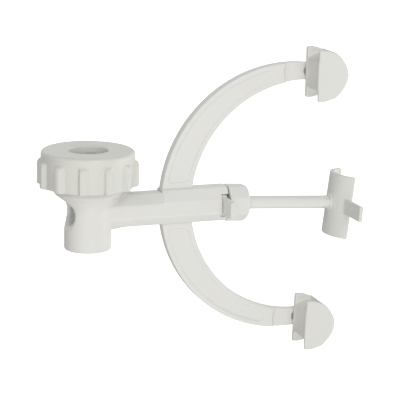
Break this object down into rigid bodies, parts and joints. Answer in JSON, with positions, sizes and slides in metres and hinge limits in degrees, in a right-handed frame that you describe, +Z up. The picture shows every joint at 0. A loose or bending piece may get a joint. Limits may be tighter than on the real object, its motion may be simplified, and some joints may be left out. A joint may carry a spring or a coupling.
{
  "type": "cheek retractor",
  "caption": "Self-retaining mouth retractor: clamp post with ribbed knob, octagonal arm, C-shaped bow with swivelling flanged pads, and a sliding rod with a half-round foot.",
  "frame": {"origin": "the support rod socket's axis crossing the post's axis", "axes": "+Z up along the knob's axis, +X from the post along the arm towards the pads, +Y to the rear, away from the viewer of the picture"},
  "size_m": [0.1366, 0.0439, 0.1267],
  "materials": {
    "body_plastic": "satin moulded off-white plastic",
    "knob_plastic": "satin moulded off-white plastic, slightly warmer",
    "pad_plastic": "fine matt off-white plastic",
    "shoe_metal": "plain turned aluminium",
    "steel": "bright stainless steel",
    "brass": "turned brass"
  },
  "bodies": {
    "frame_body": {"frame": "body_plastic", "bow": "body_plastic", "thread_insert": "brass", "collar": "body_plastic", "collar_pins": "steel", "plate_spring": "steel"},
    "shoe": {"clamp_shoe": "shoe_metal"},
    "knob_body": {"knob": "knob_plastic", "clamp_screw": "steel", "shoe_ring": "steel"},
    "upper_pad": {"pad_upper": "pad_plastic", "pin_upper": "steel", "ring_upper": "steel"},
    "lower_pad": {"pad_lower": "pad_plastic", "pin_lower": "steel", "ring_lower": "steel"},
    "plate": {"release_plate": "pad_plastic"},
    "slider": {"rod_stop": "steel"},
    "rod_body": {"rod": "body_plastic", "foot": "pad_plastic"}
  },
  "joints": [
    {"name": "screw_advance", "type": "slide", "parent": "frame_body", "child": "shoe", "axis": [0, 0, 1], "range_m": [-0.001, 0.0006]},
    {"name": "knob_turn", "type": "hinge", "parent": "shoe", "child": "knob_body", "pos_m": [0, 0, 0], "axis": [0, 0, 1], "range_deg": [-288.5, 173.5]},
    {"name": "upper_pad_turn", "type": "hinge", "parent": "frame_body", "child": "upper_pad", "pos_m": [0.0941, 0, 0.0539], "axis": [0, 1, 0], "continuous": true},
    {"name": "lower_pad_turn", "type": "hinge", "parent": "frame_body", "child": "lower_pad", "pos_m": [0.0924, 0, -0.05165], "axis": [0, 1, 0], "continuous": true},
    {"name": "release_tilt", "type": "hinge", "parent": "frame_body", "child": "plate", "pos_m": [0.05555, 0.0052, 0], "axis": [0, 0, 1], "range_deg": [0, 3], "stiffness_Nm_per_rad": 0.01, "springref_deg": -2.86},
    {"name": "rod_slide", "type": "slide", "parent": "frame_body", "child": "slider", "axis": [0.9981, 0, -0.061], "range_m": [-0.0035, 0.004]},
    {"name": "rod_turn", "type": "hinge", "parent": "slider", "child": "rod_body", "pos_m": [0.0586, 0, 0.00027], "axis": [0.9981, 0, -0.061], "range_deg": [-90, 90]}
  ],
  "couplings": [
    {"joint": "knob_turn", "follows": "screw_advance", "rad_per_m": 5026.5}
  ]
}
